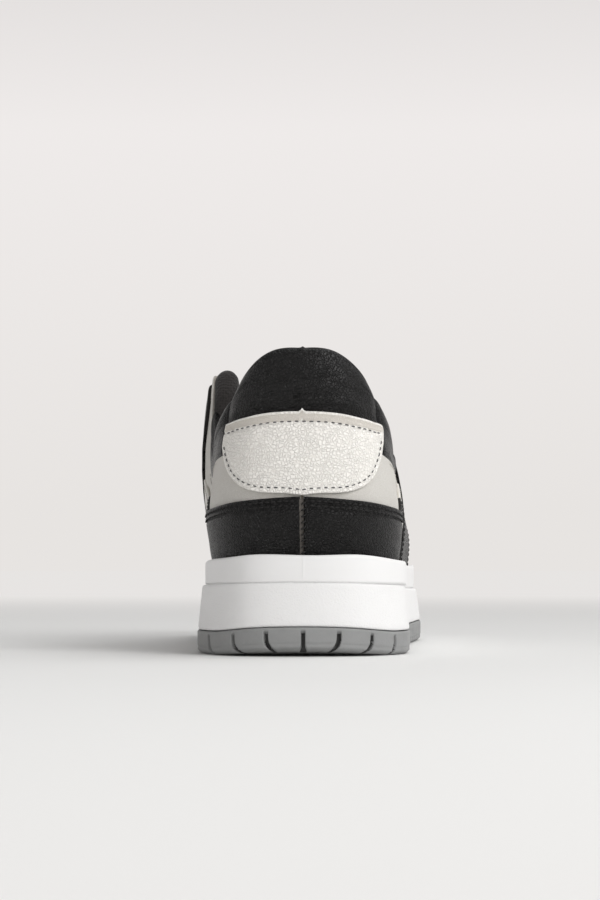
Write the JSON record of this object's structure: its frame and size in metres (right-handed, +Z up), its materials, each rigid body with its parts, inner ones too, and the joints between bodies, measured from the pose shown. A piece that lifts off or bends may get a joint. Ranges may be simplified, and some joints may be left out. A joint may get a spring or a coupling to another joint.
{
  "type": "low court sneaker",
  "caption": "Right low-top court sneaker with a padded collar, heel tab, lace-up throat, hinged padded tongue, cupsole and grooved rubber outsole.",
  "frame": {"origin": "bottom centre of the shoe's box: on the ground plane, midway between heel and toe and midway between the sides", "axes": "+Y from heel to toe, +X towards the lateral side of this right shoe, +Z up"},
  "size_m": [0.0968, 0.282, 0.116],
  "materials": {
    "outsole_rubber": "matt grey moulded rubber",
    "cupsole_rubber": "white moulded rubber, lightly grained lower band",
    "black_leather": "black pebbled synthetic leather",
    "grey_leather": "light grey fine-grained synthetic leather",
    "white_leather": "off-white pebbled synthetic leather",
    "textile_lining": "dark knitted lining",
    "foam": "open-cell foam",
    "board": "stitched fibre board",
    "lace_webbing": "flat woven lace"
  },
  "bodies": {
    "shoe": {"outsole": "outsole_rubber", "cupsole": "cupsole_rubber", "midsole_insert": "foam", "strobel_board": "board", "sockliner": "textile_lining", "quarter_lateral": "grey_leather", "quarter_medial": "grey_leather", "vamp": "white_leather", "collar_back_panel": "black_leather", "collar_side_lateral": "black_leather", "collar_side_medial": "black_leather", "heel_overlay_lateral": "black_leather", "heel_overlay_medial": "black_leather", "back_seam_welt": "black_leather", "heel_tab": "white_leather", "eyestay_lateral": "black_leather", "eyestay_medial": "black_leather", "toe_overlay": "black_leather", "side_panel_lateral": "white_leather", "side_panel_medial": "white_leather", "heel_counter": "board", "toe_puff": "board", "collar_foam": "foam", "collar_lining": "textile_lining", "vamp_lining": "textile_lining", "lace_run_1": "lace_webbing", "lace_run_2": "lace_webbing", "lace_run_3": "lace_webbing", "lace_run_4": "lace_webbing", "lace_run_5": "lace_webbing", "lace_run_6": "lace_webbing"},
    "tongue": {"tongue_shell": "grey_leather", "tongue_foam": "foam", "tongue_lining": "textile_lining", "tongue_label": "black_leather"}
  },
  "joints": [
    {"name": "tongue_hinge", "type": "hinge", "parent": "shoe", "child": "tongue", "pos_m": [-0.0104, 0.068, 0.0635], "axis": [1, 0, 0], "range_deg": [0, 12], "stiffness_Nm_per_rad": 0.3, "springref_deg": -9.74}
  ]
}
